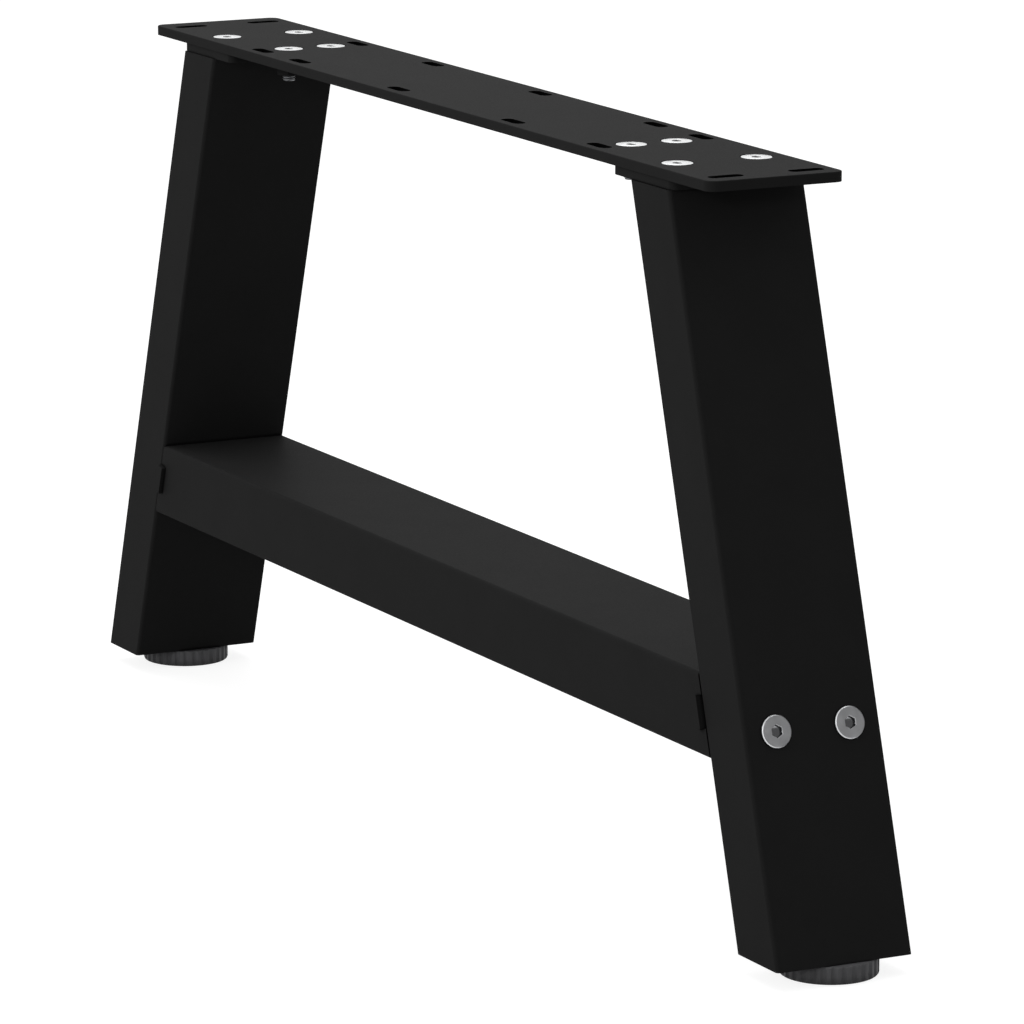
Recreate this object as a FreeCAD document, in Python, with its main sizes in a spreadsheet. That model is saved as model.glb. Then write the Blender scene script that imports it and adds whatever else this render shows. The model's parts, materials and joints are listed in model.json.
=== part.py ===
import FreeCAD, Part
import math
import os
import re
import Sketcher

# Trestle table leg: a flat top plate on two leaning rectangular tubes, tied by a crossbar tube
# that is bolted between them, on two ribbed levelling feet.
# Millimetres. X runs along the top plate, Y across it, Z up. The origin is on the floor, at the
# middle of the part. The left leg's pieces are the right leg's after half a turn about Z, apart
# from a few millimetres by which the plate's holes and the feet stand off that symmetry.

os.makedirs("parts", exist_ok=True)
doc = FreeCAD.newDocument("TrestleTableLeg")

# Driving dimensions

SIZES = [
    ("plate_length", 682),
    ("plate_width", 80),
    ("plate_thickness", 5.5),
    ("plate_corner_radius", 6),
    ("plate_edge_round", 0.6),
    ("standing_height", 405),
    ("foot_spacing", 795),
    ("lean_angle", 17.3),
    ("tube_depth", 80),
    ("tube_breadth", 40),
    ("tube_wall", 1.5),
    ("tube_corner_radius", 2),
    ("slot_width", 7.3),
    ("slot_length", 20.2),
    ("slot_row_offset", 31.3),
    ("outer_slot_distance", 207),
    ("far_slot_distance", 157),
    ("near_slot_distance", 109),
    ("front_middle_slot_distance", 29.6),
    ("back_middle_slot_distance", 23.8),
    ("back_row_shift", 3),
    ("left_end_slot_inset", 17),
    ("right_end_slot_inset", 12.5),
    ("end_slot_spread", 23.6),
    ("cap_thickness", 5),
    ("cap_overhang", 1.5),
    ("cap_setback", 1),
    ("cap_ledge", 21),
    ("cap_corner_radius", 4),
    ("tongue_reach", 84),
    ("tongue_width", 44),
    ("left_outer_screw_shift", 4.3),
    ("right_outer_screw_shift", 0.3),
    ("outer_screw_spread", 23.4),
    ("inner_screw_shift", 68.2),
    ("inner_screw_spread", 13.6),
    ("thread_diameter", 8),
    ("thread_clearance", 0.05),
    ("clearance_hole", 9),
    ("screw_length", 18.6),
    ("screw_head_diameter", 16.5),
    ("screw_head_land", 0.6),
    ("screw_head_recess", 0.1),
    ("screw_seat_clearance", 0.02),
    ("screw_socket_width", 5),
    ("screw_socket_depth", 3),
    ("screw_tip_chamfer", 0.8),
    ("head_edge_chamfer", 0.35),
    ("nut_width", 13),
    ("nut_height", 4.7),
    ("nut_bevel_angle", 30),
    ("crossbar_height", 127.5),
    ("crossbar_breadth", 43.2),
    ("notch_height", 17.8),
    ("notch_depth", 6.3),
    ("end_plate_thickness", 5),
    ("end_plate_inset", 1),
    ("end_plate_play", 0.2),
    ("tab_height", 17.3),
    ("tab_reach", 2.7),
    ("tab_rise", 1),
    ("bolt_height", 115.7),
    ("bolt_spread", 21.6),
    ("bolt_diameter", 8),
    ("bolt_clearance_hole", 9),
    ("bolt_length", 45),
    ("bolt_head_diameter", 17.1),
    ("bolt_head_height", 1.6),
    ("bolt_socket_width", 6),
    ("bolt_socket_depth", 3),
    ("pad_diameter", 52),
    ("pad_height", 9.5),
    ("pad_gap", 0.3),
    ("pad_top_chamfer", 1.2),
    ("pad_bottom_chamfer", 0.6),
    ("flute_count", 30),
    ("flute_radius", 2.2),
    ("flute_depth", 0.9),
    ("stud_diameter", 10),
    ("stud_length", 30),
    ("stud_head_width", 17),
    ("stud_head_height", 5),
    ("stud_head_rise", 1.5),
    ("stud_head_play", 0.1),
    ("foot_setback", 2.5),
    ("foot_plate_thickness", 5),
    ("foot_plate_inset", 3),
    ("foot_plate_play", 0.1),
]

sheet = doc.addObject("Spreadsheet::Sheet", "Sizes")
for row, (alias, value) in enumerate(SIZES, start=1):
    sheet.set(f"A{row}", alias.replace("_", " "))
    sheet.set(f"B{row}", str(value))
    sheet.setAlias(f"B{row}", alias)
doc.recompute()

ALIAS = re.compile(r"\b(" + "|".join(alias for alias, value in SIZES) + r")\b")

# Measures worked out from the driving dimensions, in the words of the sheet

LEAN = "(lean_angle * 1 deg)"
LEG_BOTTOM = "(pad_height + pad_gap)"
LEG_TOP = "(standing_height - plate_thickness - cap_thickness)"
LEG_RISE = f"({LEG_TOP} - {LEG_BOTTOM})"
FOOT_X = "(foot_spacing / 2)"
TUBE_TOP_X = f"({FOOT_X} - {LEG_RISE} * tan({LEAN}))"
TUBE_SPAN = f"(tube_breadth / cos({LEAN}))"
INNER_SCREW_X = f"({TUBE_TOP_X} - inner_screw_shift)"
THREAD_RADIUS = "(thread_diameter / 2)"
TAPPED_RADIUS = "(thread_diameter / 2 + thread_clearance)"
END_PLATE_FACE = "(-tube_breadth / 2 - end_plate_inset)"
END_PLATE_MIDDLE = f"({END_PLATE_FACE} - end_plate_thickness / 2)"
END_PLATE_CENTRE = (
    f"((crossbar_height - {LEG_BOTTOM} - {END_PLATE_MIDDLE} * sin({LEAN})) / cos({LEAN}))"
)
TAB_CENTRE = f"({END_PLATE_CENTRE} + tab_rise)"
COUNTERSINK_DIAMETER = (
    "(screw_head_diameter + 2 * (screw_head_land + screw_head_recess + screw_seat_clearance))"
)

SIDES = (("right", 1), ("left", -1))

# How near a place or a direction has to be to count as the same, in millimetres and as a share

SAME_PLACE = 0.01
SAME_DIRECTION = 1e-6


def bound(text):
    """The text as an expression on the sheet's cells."""
    return ALIAS.sub(r"Sizes.\1", text)


def value_of(text):
    """The number that the text gives now."""
    result = sheet.evalExpression(bound(text))
    return float(getattr(result, "Value", result))


def new_body(label, placement=None):
    body = doc.addObject("PartDesign::Body", label)
    body.Label = label
    if placement:
        body.setExpression("Placement", bound(placement))
    return body


def new_sketch(body, name, role, offset=None):
    """A sketch on one of the body's own origin planes, moved along the plane's normal."""
    sketch = body.newObject("Sketcher::SketchObject", name)
    plane = next(item for item in body.Origin.OriginFeatures if item.Role == role)
    sketch.AttachmentSupport = (plane, "")
    sketch.MapMode = "FlatFace"
    if offset:
        sketch.setExpression("AttachmentOffset.Base.z", bound(offset))
    return sketch


def fix(sketch, kind, geometry, point, text):
    """Hold a point of the sketch, measured from the sketch's origin, at a size from the sheet."""
    index = sketch.addConstraint(Sketcher.Constraint(kind, -1, 1, geometry, point, value_of(text)))
    sketch.setExpression(f"Constraints[{index}]", bound(text))


def draw_outline(sketch, corners):
    """A closed outline of straight lines through corners given as pairs of texts."""
    places = [FreeCAD.Vector(value_of(across), value_of(up), 0) for across, up in corners]
    first = sketch.GeometryCount
    count = len(corners)
    for index in range(count):
        sketch.addGeometry(Part.LineSegment(places[index], places[(index + 1) % count]))
    for index in range(count):
        following = first + (index + 1) % count
        sketch.addConstraint(Sketcher.Constraint("Coincident", first + index, 2, following, 1))
    for index, (across, up) in enumerate(corners):
        fix(sketch, "DistanceX", first + index, 1, across)
        fix(sketch, "DistanceY", first + index, 1, up)


def draw_rectangle(sketch, width, height, across="0", up="0"):
    low_x, high_x = f"({across} - {width} / 2)", f"({across} + {width} / 2)"
    low_y, high_y = f"({up} - {height} / 2)", f"({up} + {height} / 2)"
    draw_outline(sketch, [(low_x, low_y), (high_x, low_y), (high_x, high_y), (low_x, high_y)])


def draw_circle(sketch, across, up, radius):
    centre = FreeCAD.Vector(value_of(across), value_of(up), 0)
    index = sketch.addGeometry(Part.Circle(centre, FreeCAD.Vector(0, 0, 1), value_of(radius)))
    fix(sketch, "DistanceX", index, 3, across)
    fix(sketch, "DistanceY", index, 3, up)
    size = sketch.addConstraint(Sketcher.Constraint("Radius", index, value_of(radius)))
    sketch.setExpression(f"Constraints[{size}]", bound(radius))


def draw_hexagon(sketch, width, up="0", first_angle=30):
    """A hexagon by its width across flats."""
    corner_radius = f"({width} / sqrt(3))"
    corners = []
    for index in range(6):
        angle = first_angle + 60 * index
        across = f"({corner_radius} * cos({angle} deg))"
        corners.append((across, f"({up} + {corner_radius} * sin({angle} deg))"))
    draw_outline(sketch, corners)


def draw_slot(sketch, across, up, along_x):
    """A slot with round ends, centred on a point, along X or along Y."""
    x, y = value_of(across), value_of(up)
    radius = value_of("slot_width / 2")
    half = value_of("(slot_length - slot_width) / 2")
    step = FreeCAD.Vector(half, 0, 0) if along_x else FreeCAD.Vector(0, half, 0)
    middle = FreeCAD.Vector(x, y, 0)
    normal = FreeCAD.Vector(0, 0, 1)
    turn = 0 if along_x else math.pi / 2
    side = FreeCAD.Vector(-math.sin(turn), math.cos(turn), 0) * radius
    far_end = Part.Circle(middle + step, normal, radius)
    near_end = Part.Circle(middle - step, normal, radius)
    first = sketch.GeometryCount
    sketch.addGeometry(Part.ArcOfCircle(far_end, turn - math.pi / 2, turn + math.pi / 2))
    sketch.addGeometry(Part.ArcOfCircle(near_end, turn + math.pi / 2, turn + 3 * math.pi / 2))
    sketch.addGeometry(Part.LineSegment(middle + step + side, middle - step + side))
    sketch.addGeometry(Part.LineSegment(middle - step - side, middle + step - side))
    sketch.addConstraint(Sketcher.Constraint("Tangent", first, 2, first + 2, 1))
    sketch.addConstraint(Sketcher.Constraint("Tangent", first + 2, 2, first + 1, 1))
    sketch.addConstraint(Sketcher.Constraint("Tangent", first + 1, 2, first + 3, 1))
    sketch.addConstraint(Sketcher.Constraint("Tangent", first + 3, 2, first, 1))
    size = sketch.addConstraint(Sketcher.Constraint("Radius", first, radius))
    sketch.setExpression(f"Constraints[{size}]", bound("slot_width / 2"))
    reach = "(slot_length - slot_width) / 2"
    for index, sign in ((first, "+"), (first + 1, "-")):
        fix(sketch, "DistanceX", index, 3, f"{across} {sign} {reach}" if along_x else across)
        fix(sketch, "DistanceY", index, 3, up if along_x else f"{up} {sign} {reach}")


def pad(body, name, sketch, length, both_ways=False):
    feature = body.newObject("PartDesign::Pad", name)
    feature.Profile = sketch
    feature.Midplane = both_ways
    feature.setExpression("Length", bound(length))
    doc.recompute()
    return feature


def cut(body, name, sketch, depth=None, upward=False):
    """A pocket to a depth, or without one right through the body both ways."""
    before = body.Shape.Volume
    feature = body.newObject("PartDesign::Pocket", name)
    feature.Profile = sketch
    if depth:
        feature.setExpression("Length", bound(depth))
        feature.Reversed = upward
    else:
        feature.Type = "ThroughAll"
        feature.Midplane = True
    doc.recompute()
    if body.Shape.Volume >= before:
        raise RuntimeError(f"{body.Label}: {name} cuts nothing")
    return feature


def turn_profile(body, name, sketch, axis_name):
    """Turn a half profile about the sketch's own axis."""
    feature = body.newObject("PartDesign::Revolution", name)
    feature.Profile = sketch
    feature.ReferenceAxis = (sketch, [axis_name])
    feature.Angle = 360
    doc.recompute()
    return feature


def round_edges(body, name, radius, chosen):
    """Round the edges of the body that the test chooses."""
    base = body.Tip
    edges = [f"Edge{i}" for i, edge in enumerate(base.Shape.Edges, start=1) if chosen(edge)]
    feature = body.newObject("PartDesign::Fillet", name)
    feature.Base = (base, edges)
    feature.setExpression("Radius", bound(radius))
    doc.recompute()
    return feature


def spread(body, name, features, count):
    """Repeat features evenly round the body's Z axis."""
    pattern = body.newObject("PartDesign::PolarPattern", name)
    pattern.Originals = features
    axis = next(item for item in body.Origin.OriginFeatures if item.Role == "Z_Axis")
    pattern.Axis = (axis, [""])
    pattern.Angle = 360
    pattern.setExpression("Occurrences", bound(count))
    body.Tip = pattern
    doc.recompute()
    return pattern


def runs_along(edge, direction):
    """Whether a straight edge lies along a direction."""
    if edge.Curve.TypeId != "Part::GeomLine":
        return False
    return edge.tangentAt(edge.FirstParameter).cross(direction).Length < SAME_DIRECTION


def standing(side, across, along, height):
    """Upright, at a place that is turned by half a turn for the left side."""
    x, y = f"{side} * {across}", f"{side} * {along}"
    return f"placement(vector({x}; {y}; {height}); rotation({90 - 90 * side}; 0; 0))"


def leaning(side, along="0", up="0"):
    """In the leg's own frame: Z up the tube's middle line from the foot, X to its outer face."""
    x = f"{side} * ({FOOT_X} - {up} * sin({LEAN}))"
    y = f"{side} * {along}"
    height = f"({LEG_BOTTOM} + {up} * cos({LEAN}))"
    return f"placement(vector({x}; {y}; {height}); rotation({90 - 90 * side}; -lean_angle; 0))"


def from_leg(across, up):
    """X and Z in the part's frame of a point given in the right leg's own frame."""
    x = f"({FOOT_X} + {across} * cos({LEAN}) - {up} * sin({LEAN}))"
    height = f"({LEG_BOTTOM} + {across} * sin({LEAN}) + {up} * cos({LEAN}))"
    return x, height


def outer_screw_x(side_name):
    """How far from the middle the outer screws of a side are."""
    return f"({TUBE_TOP_X} - {side_name}_outer_screw_shift)"


def inner_face_x(height):
    """X of the right leg's inner face at a height above the floor."""
    return f"({FOOT_X} - ({height} - {LEG_BOTTOM}) * tan({LEAN}) - {TUBE_SPAN} / 2)"


# Top plate: laser-cut flat bar with slots for the table top and countersinks for its screws

def top_plate():
    bottom = "(standing_height - plate_thickness)"
    body = new_body("top_plate", f"placement(vector(0; 0; {bottom}); rotation(0; 0; 0))")
    outline = new_sketch(body, "PlateOutline", "XY_Plane")
    draw_rectangle(outline, "plate_length", "plate_width")
    pad(body, "PlatePad", outline, "plate_thickness")
    upright = FreeCAD.Vector(0, 0, 1)
    round_edges(body, "PlateCorners", "plate_corner_radius", lambda edge: runs_along(edge, upright))
    top = value_of("plate_thickness")
    round_edges(
        body, "PlateTopEdge", "plate_edge_round",
        lambda edge: edge.BoundBox.ZMin > top - SAME_PLACE,
    )

    slots = new_sketch(body, "PlateSlots", "XY_Plane")
    for distance in ("(-outer_slot_distance)", "(-far_slot_distance)", "(-front_middle_slot_distance)",
                     "near_slot_distance", "outer_slot_distance"):
        draw_slot(slots, distance, "(-slot_row_offset)", True)
    for distance in ("(-outer_slot_distance)", "(-near_slot_distance)", "back_middle_slot_distance",
                     "far_slot_distance", "outer_slot_distance"):
        draw_slot(slots, f"({distance} - back_row_shift)", "slot_row_offset", True)
    for side_name, side in SIDES:
        place = f"({side} * (plate_length / 2 - {side_name}_end_slot_inset))"
        draw_slot(slots, place, "(-end_slot_spread)", False)
        draw_slot(slots, place, "end_slot_spread", False)
    cut(body, "PlateSlotCut", slots)

    centres = new_sketch(body, "ScrewCentres", "XY_Plane", "plate_thickness")
    for side_name, side in SIDES:
        for end in (-1, 1):
            outer, inner = f"({side} * {outer_screw_x(side_name)})", f"({side} * {INNER_SCREW_X})"
            draw_circle(centres, outer, f"({end} * outer_screw_spread)", THREAD_RADIUS)
            draw_circle(centres, inner, f"({end} * inner_screw_spread)", THREAD_RADIUS)
    doc.recompute()
    before = body.Shape.Volume
    hole = body.newObject("PartDesign::Hole", "ScrewHoles")
    hole.Profile = centres
    hole.DepthType = "ThroughAll"
    hole.HoleCutType = "Countersink"
    hole.HoleCutCustomValues = True
    hole.setExpression("Diameter", bound("clearance_hole"))
    hole.setExpression("HoleCutDiameter", bound(COUNTERSINK_DIAMETER))
    hole.HoleCutCountersinkAngle = 90
    doc.recompute()
    if body.Shape.Volume >= before:
        raise RuntimeError("top_plate: the screw holes cut nothing")
    return body


# Cap plate: closes the top of a leg and carries the nuts for the top plate's screws

def cap_plate(side_name, side):
    body = new_body(f"cap_plate_{side_name}", standing(side, "0", "0", LEG_TOP))
    outer = f"({TUBE_TOP_X} + {TUBE_SPAN} / 2 + cap_overhang)"
    step = f"({TUBE_TOP_X} - {TUBE_SPAN} / 2 - cap_ledge)"
    tip = f"({TUBE_TOP_X} - tongue_reach)"
    half, tongue = "(plate_width / 2 - cap_setback)", "(tongue_width / 2)"
    outline = new_sketch(body, "CapOutline", "XY_Plane")
    draw_outline(outline, [
        (step, f"(-{half})"), (outer, f"(-{half})"), (outer, half), (step, half),
        (step, tongue), (tip, tongue), (tip, f"(-{tongue})"), (step, f"(-{tongue})"),
    ])
    pad(body, "CapPad", outline, "cap_thickness")
    upright = FreeCAD.Vector(0, 0, 1)
    round_edges(body, "CapCorners", "cap_corner_radius", lambda edge: runs_along(edge, upright))
    holes = new_sketch(body, "CapHoles", "XY_Plane")
    hole_radius = "(clearance_hole / 2)"
    for end in (-1, 1):
        draw_circle(holes, outer_screw_x(side_name), f"({end} * outer_screw_spread)", hole_radius)
        draw_circle(holes, INNER_SCREW_X, f"({end} * inner_screw_spread)", hole_radius)
    cut(body, "CapHoleCut", holes)
    return body


# Leg: rectangular tube cut level at both ends, bored for the two crossbar bolts

def leg_tube(side_name, side):
    body = new_body(f"leg_tube_{side_name}", leaning(side))
    half = "(tube_breadth / 2)"
    slope = f"({half} * tan({LEAN}))"
    length = f"({LEG_RISE} / cos({LEAN}))"
    profile = new_sketch(body, "LegProfile", "XZ_Plane")
    draw_outline(profile, [
        (f"(-{half})", slope), (half, f"(-{slope})"),
        (half, f"({length} - {slope})"), (f"(-{half})", f"({length} + {slope})"),
    ])
    pad(body, "LegPad", profile, "tube_depth", both_ways=True)
    upright = FreeCAD.Vector(0, 0, 1)
    round_edges(body, "LegCorners", "tube_corner_radius", lambda edge: runs_along(edge, upright))
    bore = new_sketch(body, "LegBore", "XY_Plane")
    draw_rectangle(bore, "(tube_breadth - 2 * tube_wall)", "(tube_depth - 2 * tube_wall)")
    cut(body, "LegBoreCut", bore)
    holes = new_sketch(body, "LegBoltHoles", "YZ_Plane")
    for end in (-1, 1):
        draw_circle(holes, f"({end} * bolt_spread)", "bolt_height", "(bolt_clearance_hole / 2)")
    cut(body, "LegBoltHoleCut", holes)
    return body


# Foot plate: set just inside the bottom of a leg, tapped for the levelling foot

def foot_plate(side_name, side):
    body = new_body(f"foot_plate_{side_name}", standing(side, FOOT_X, "0", LEG_BOTTOM))
    half = f"((tube_breadth / 2 - tube_wall - foot_plate_play) / cos({LEAN}))"
    low = "foot_plate_inset"
    high = "(foot_plate_inset + foot_plate_thickness)"
    profile = new_sketch(body, "FootPlateProfile", "XZ_Plane")
    draw_outline(profile, [
        (f"(-{low} * tan({LEAN}) - {half})", low), (f"(-{low} * tan({LEAN}) + {half})", low),
        (f"(-{high} * tan({LEAN}) + {half})", high), (f"(-{high} * tan({LEAN}) - {half})", high),
    ])
    depth = "(tube_depth - 2 * tube_wall - 2 * foot_plate_play)"
    pad(body, "FootPlatePad", profile, depth, both_ways=True)
    hole = new_sketch(body, "FootPlateHole", "XY_Plane")
    behind = f"({side} * foot_setback)"
    draw_circle(hole, "0", behind, "(stud_diameter / 2 + thread_clearance)")
    cut(body, "FootPlateHoleCut", hole)
    return body


# Crossbar: a tube lying flat, cut to the legs' lean, notched for its end plates' tabs

def crossbar_tube():
    body = new_body("crossbar_tube")
    low = "(crossbar_height - crossbar_breadth / 2)"
    high = "(crossbar_height + crossbar_breadth / 2)"
    profile = new_sketch(body, "CrossbarProfile", "XZ_Plane")
    draw_outline(profile, [
        (f"(-{inner_face_x(low)})", low), (inner_face_x(low), low),
        (inner_face_x(high), high), (f"(-{inner_face_x(high)})", high),
    ])
    pad(body, "CrossbarPad", profile, "tube_depth", both_ways=True)
    sideways = FreeCAD.Vector(1, 0, 0)
    round_edges(body, "CrossbarEdges", "tube_corner_radius", lambda edge: runs_along(edge, sideways))
    bore = new_sketch(body, "CrossbarBore", "YZ_Plane")
    wide, tall = "(tube_depth - 2 * tube_wall)", "(crossbar_breadth - 2 * tube_wall)"
    draw_rectangle(bore, wide, tall, "0", "crossbar_height")
    cut(body, "CrossbarBoreCut", bore)
    notches = new_sketch(body, "CrossbarNotches", "XZ_Plane")
    mouth, floor = "0", "(-tube_breadth / 2 - notch_depth)"
    low_edge = f"({TAB_CENTRE} - notch_height / 2)"
    high_edge = f"({TAB_CENTRE} + notch_height / 2)"
    corners = [
        from_leg(mouth, low_edge), from_leg(mouth, high_edge),
        from_leg(floor, high_edge), from_leg(floor, low_edge),
    ]
    draw_outline(notches, corners)
    draw_outline(notches, [(f"(-{x})", height) for x, height in corners])
    cut(body, "CrossbarNotchCut", notches)
    return body


# End plate: set inside the crossbar's end, tapped for the bolts, with a tab through each notch

def crossbar_end_plate(side_name, side):
    body = new_body(f"crossbar_end_plate_{side_name}", leaning(side))
    width = "(tube_depth / 2 - tube_wall - end_plate_play)"
    room = f"(crossbar_breadth - 2 * tube_wall - end_plate_thickness * sin({LEAN}))"
    height = f"({room} / cos({LEAN}) / 2 - end_plate_play)"
    reach = "(tube_depth / 2 + tab_reach)"
    tab = "(tab_height / 2)"
    outline = new_sketch(body, "EndPlateOutline", "YZ_Plane", f"{END_PLATE_FACE} - end_plate_thickness")
    low, high = f"({END_PLATE_CENTRE} - {height})", f"({END_PLATE_CENTRE} + {height})"
    tab_low, tab_high = f"({TAB_CENTRE} - {tab})", f"({TAB_CENTRE} + {tab})"
    corners = [(width, low), (width, tab_low), (reach, tab_low), (reach, tab_high),
               (width, tab_high), (width, high)]
    draw_outline(outline, corners + [(f"(-{across})", up) for across, up in reversed(corners)])
    pad(body, "EndPlatePad", outline, "end_plate_thickness")
    holes = new_sketch(body, "EndPlateHoles", "YZ_Plane")
    for end in (-1, 1):
        draw_circle(holes, f"({end} * bolt_spread)", "bolt_height", "(bolt_diameter / 2 + thread_clearance)")
    cut(body, "EndPlateHoleCut", holes)
    return body


# Countersunk screw: from the top plate down into its nut

def plate_screw(name, side, across, along):
    top = "(standing_height - screw_head_recess)"
    body = new_body(name, standing(side, across, along, top))
    head = "(screw_head_diameter / 2)"
    cone_end = f"(-screw_head_land - {head} + {THREAD_RADIUS})"
    profile = new_sketch(body, "ScrewProfile", "XZ_Plane")
    draw_outline(profile, [
        ("0", "0"), (f"({head} - head_edge_chamfer)", "0"), (head, "(-head_edge_chamfer)"),
        (head, "(-screw_head_land)"), (THREAD_RADIUS, cone_end),
        (THREAD_RADIUS, "(-screw_length + screw_tip_chamfer)"),
        (f"({THREAD_RADIUS} - screw_tip_chamfer)", "(-screw_length)"), ("0", "(-screw_length)"),
    ])
    turn_profile(body, "ScrewTurn", profile, "V_Axis")
    socket = new_sketch(body, "ScrewSocket", "XY_Plane")
    draw_hexagon(socket, "screw_socket_width")
    cut(body, "ScrewSocketCut", socket, "screw_socket_depth")
    return body


# Weld nut: hexagonal, with its top face against the cap plate

def plate_nut(name, side, across, along):
    body = new_body(name, standing(side, across, along, f"({LEG_TOP} - nut_height)"))
    outline = new_sketch(body, "NutOutline", "XY_Plane")
    draw_hexagon(outline, "nut_width")
    pad(body, "NutPad", outline, "nut_height")
    bore = new_sketch(body, "NutBore", "XY_Plane")
    draw_circle(bore, "0", "0", TAPPED_RADIUS)
    cut(body, "NutBoreCut", bore)
    corner, flat = "(nut_width / sqrt(3))", "(nut_width / 2)"
    clear = "nut_width"
    drop = f"(({corner} - {flat}) * tan(nut_bevel_angle * 1 deg))"
    bevel = new_sketch(body, "NutBevel", "XZ_Plane")
    draw_outline(bevel, [(flat, "0"), (clear, "0"), (clear, drop), (corner, drop)])
    before = body.Shape.Volume
    groove = body.newObject("PartDesign::Groove", "NutBevelCut")
    groove.Profile = bevel
    groove.ReferenceAxis = (bevel, ["V_Axis"])
    groove.Angle = 360
    doc.recompute()
    if body.Shape.Volume >= before:
        raise RuntimeError(f"{name}: the bevel cuts nothing")
    return body


# Crossbar bolt: wide flat head on the leg's outer face, shank square to it

def crossbar_bolt(name, side, along):
    body = new_body(name, leaning(side, along, "bolt_height"))
    seat = "(tube_breadth / 2)"
    head, shank = "(bolt_head_diameter / 2)", "(bolt_diameter / 2)"
    face = f"({seat} + bolt_head_height)"
    profile = new_sketch(body, "BoltProfile", "XZ_Plane")
    draw_outline(profile, [
        (face, "0"), (face, f"({head} - head_edge_chamfer)"),
        (f"({face} - head_edge_chamfer)", head), (seat, head), (seat, shank),
        (f"({seat} - bolt_length + screw_tip_chamfer)", shank),
        (f"({seat} - bolt_length)", f"({shank} - screw_tip_chamfer)"),
        (f"({seat} - bolt_length)", "0"),
    ])
    turn_profile(body, "BoltTurn", profile, "H_Axis")
    socket = new_sketch(body, "BoltSocket", "YZ_Plane", face)
    draw_hexagon(socket, "bolt_socket_width")
    cut(body, "BoltSocketCut", socket, "bolt_socket_depth")
    return body


# Levelling foot: a ribbed plastic pad moulded for the head of a threaded stud

def foot_pad(side_name, side):
    behind = f"({side} * foot_setback)"
    body = new_body(f"foot_pad_{side_name}", standing(side, FOOT_X, behind, "0"))
    rim = "(pad_diameter / 2)"
    profile = new_sketch(body, "PadProfile", "XZ_Plane")
    draw_outline(profile, [
        ("0", "0"), (f"({rim} - pad_bottom_chamfer)", "0"), (rim, "pad_bottom_chamfer"),
        (rim, "(pad_height - pad_top_chamfer)"), (f"({rim} - pad_top_chamfer)", "pad_height"),
        ("0", "pad_height"),
    ])
    turn_profile(body, "PadTurn", profile, "V_Axis")
    flute = new_sketch(body, "PadFlute", "XY_Plane")
    draw_circle(flute, f"({rim} + flute_radius - flute_depth)", "0", "flute_radius")
    one_flute = cut(body, "PadFluteCut", flute)
    spread(body, "PadFlutes", [one_flute], "flute_count")
    recess = new_sketch(body, "PadRecess", "XY_Plane")
    draw_hexagon(recess, "(stud_head_width + 2 * stud_head_play)")
    cut(body, "PadRecessCut", recess, "(stud_head_rise + stud_head_height)", upward=True)
    bore = new_sketch(body, "PadBore", "XY_Plane")
    draw_circle(bore, "0", "0", "(stud_diameter / 2 + thread_clearance)")
    cut(body, "PadBoreCut", bore)
    return body


def foot_stud(side_name, side):
    behind = f"({side} * foot_setback)"
    body = new_body(f"foot_stud_{side_name}", standing(side, FOOT_X, behind, "stud_head_rise"))
    head = new_sketch(body, "StudHead", "XY_Plane")
    draw_hexagon(head, "stud_head_width")
    pad(body, "StudHeadPad", head, "stud_head_height")
    shank = "(stud_diameter / 2)"
    tip = "(pad_height + stud_length - stud_head_rise)"
    profile = new_sketch(body, "StudProfile", "XZ_Plane")
    draw_outline(profile, [
        ("0", "0"), (shank, "0"), (shank, f"({tip} - screw_tip_chamfer)"),
        (f"({shank} - screw_tip_chamfer)", tip), ("0", tip),
    ])
    turn_profile(body, "StudTurn", profile, "V_Axis")
    return body


pieces = [top_plate(), crossbar_tube()]
for side_name, side in SIDES:
    pieces.append(cap_plate(side_name, side))
    pieces.append(leg_tube(side_name, side))
    pieces.append(foot_plate(side_name, side))
    pieces.append(crossbar_end_plate(side_name, side))
    pieces.append(foot_pad(side_name, side))
    pieces.append(foot_stud(side_name, side))
    for end_name, end in (("front", -side), ("back", side)):
        for place, across in (("outer", outer_screw_x(side_name)), ("inner", INNER_SCREW_X)):
            along = f"({end} * {place}_screw_spread)"
            pieces.append(plate_screw(f"plate_screw_{side_name}_{place}_{end_name}", side, across, along))
            pieces.append(plate_nut(f"plate_nut_{side_name}_{place}_{end_name}", side, across, along))
        bolt_name = f"crossbar_bolt_{side_name}_{end_name}"
        pieces.append(crossbar_bolt(bolt_name, side, f"({end} * bolt_spread)"))

# Check the model, then write each piece

doc.recompute()
for item in doc.Objects:
    if "Invalid" in item.State or "Error" in item.State:
        raise RuntimeError(f"{item.Label} failed: {item.State}")
for piece in pieces:
    shape = piece.Shape
    if shape.isNull() or not shape.isValid() or len(shape.Solids) != 1:
        raise RuntimeError(f"{piece.Label} isn't one valid solid")
    shape.exportStep(f"parts/{piece.Label}.step")
    print(piece.Label, round(shape.Volume), [round(v, 2) for v in (
        shape.BoundBox.XMin, shape.BoundBox.YMin, shape.BoundBox.ZMin,
        shape.BoundBox.XMax, shape.BoundBox.YMax, shape.BoundBox.ZMax)])
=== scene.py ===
import bmesh
import bpy
import json
import math
from mathutils import Matrix, Vector


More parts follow.
